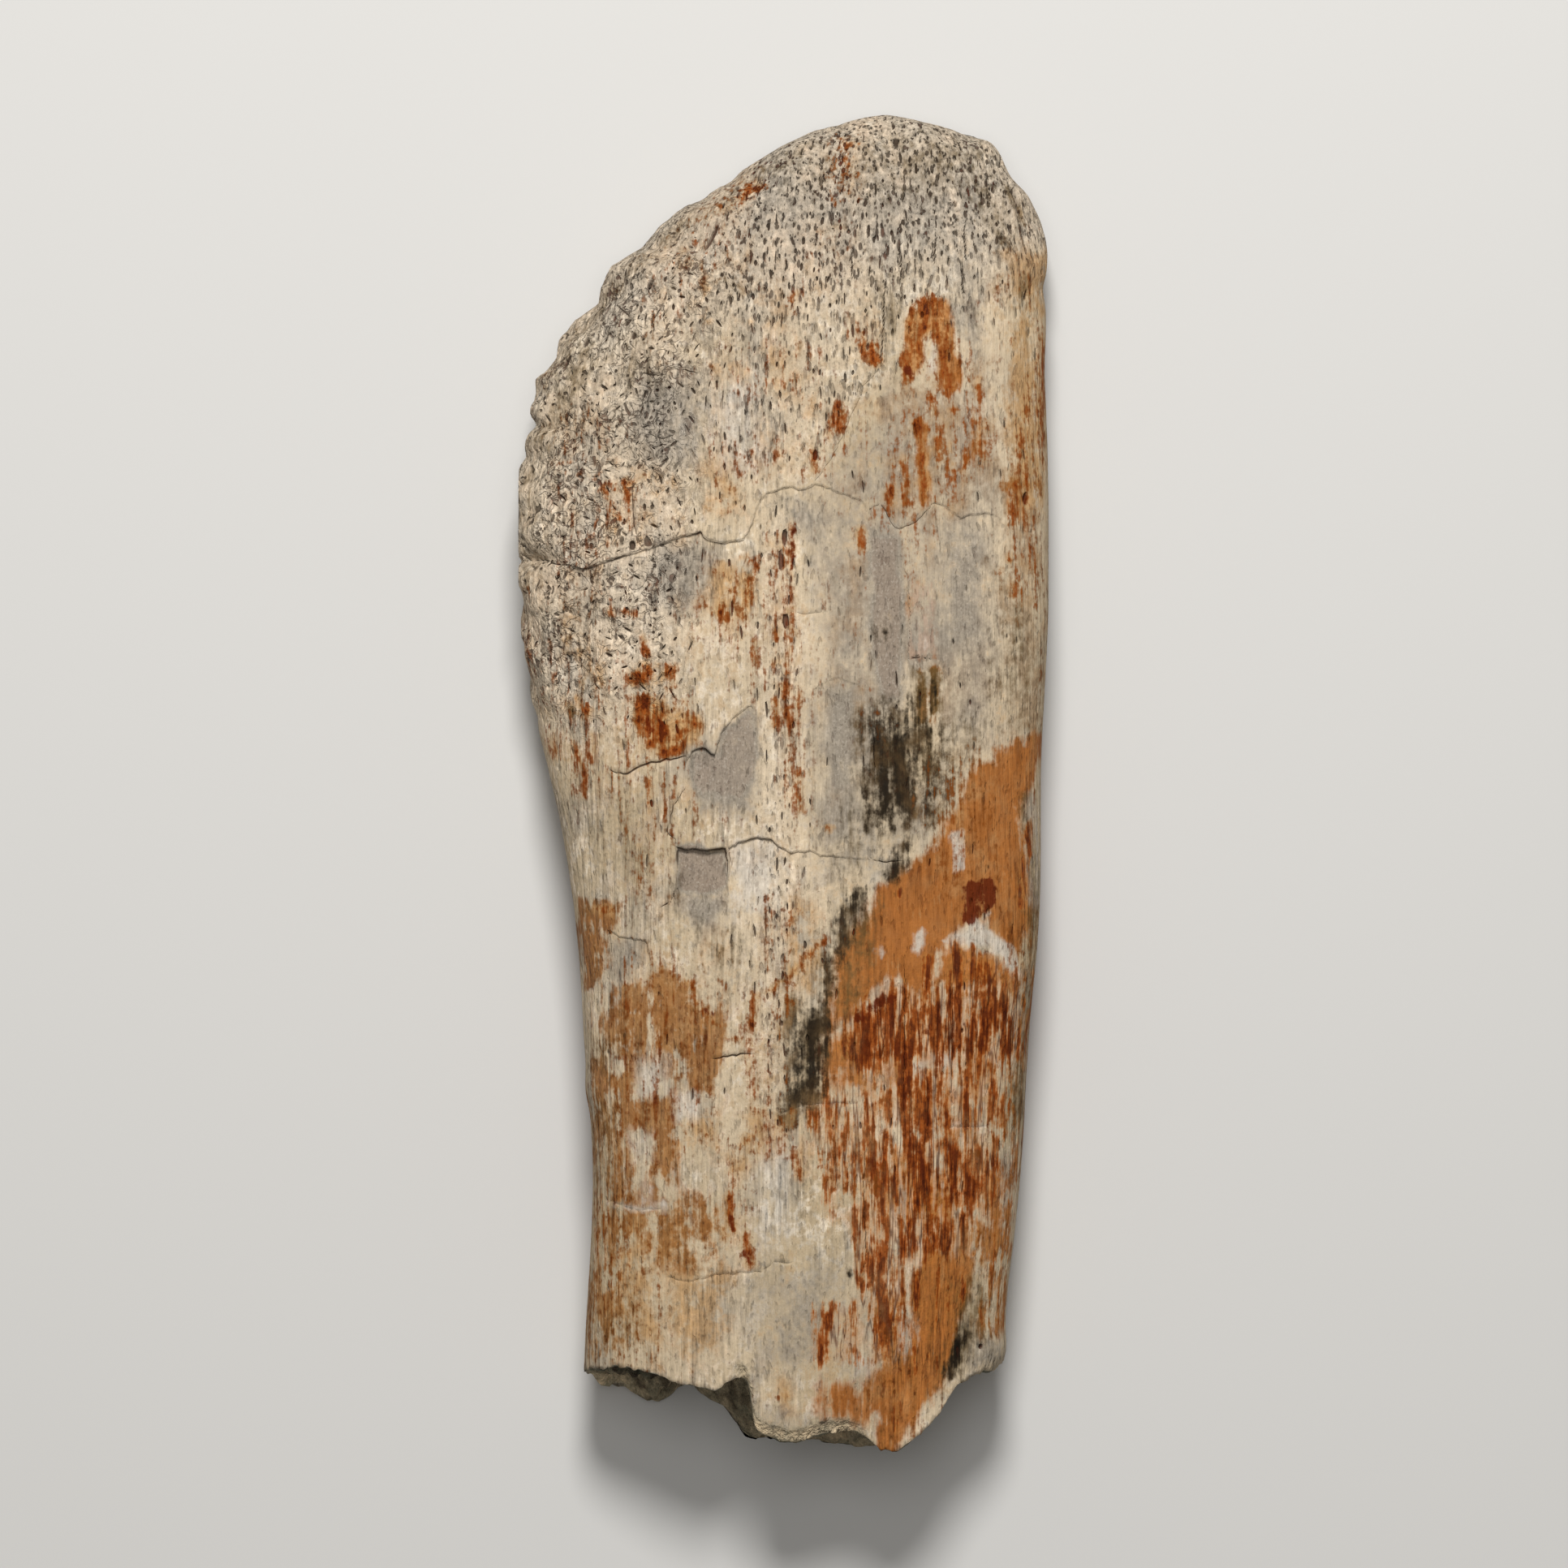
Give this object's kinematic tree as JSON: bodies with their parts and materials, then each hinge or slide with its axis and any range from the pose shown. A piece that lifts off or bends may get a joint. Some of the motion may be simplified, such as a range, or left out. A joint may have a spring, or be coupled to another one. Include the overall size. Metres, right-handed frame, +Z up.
{
  "type": "fossil dinosaur rib",
  "caption": "Fossil rib section: a flattened, gently bowed bone blade with a porous rounded end and a broken end, lying on its back.",
  "frame": {"origin": "middle of the bounding box, on the surface that the rib rests on", "axes": "+X across the blade, +Y along it towards the porous rounded end, +Z up out of the outer face"},
  "size_m": [0.0596, 0.1501, 0.0236],
  "materials": {
    "fossil_bone": "matte mineralised bone, cream to grey with rust and black stains"
  },
  "bodies": {
    "root": {"rib": "fossil_bone"}
  },
  "joints": []
}
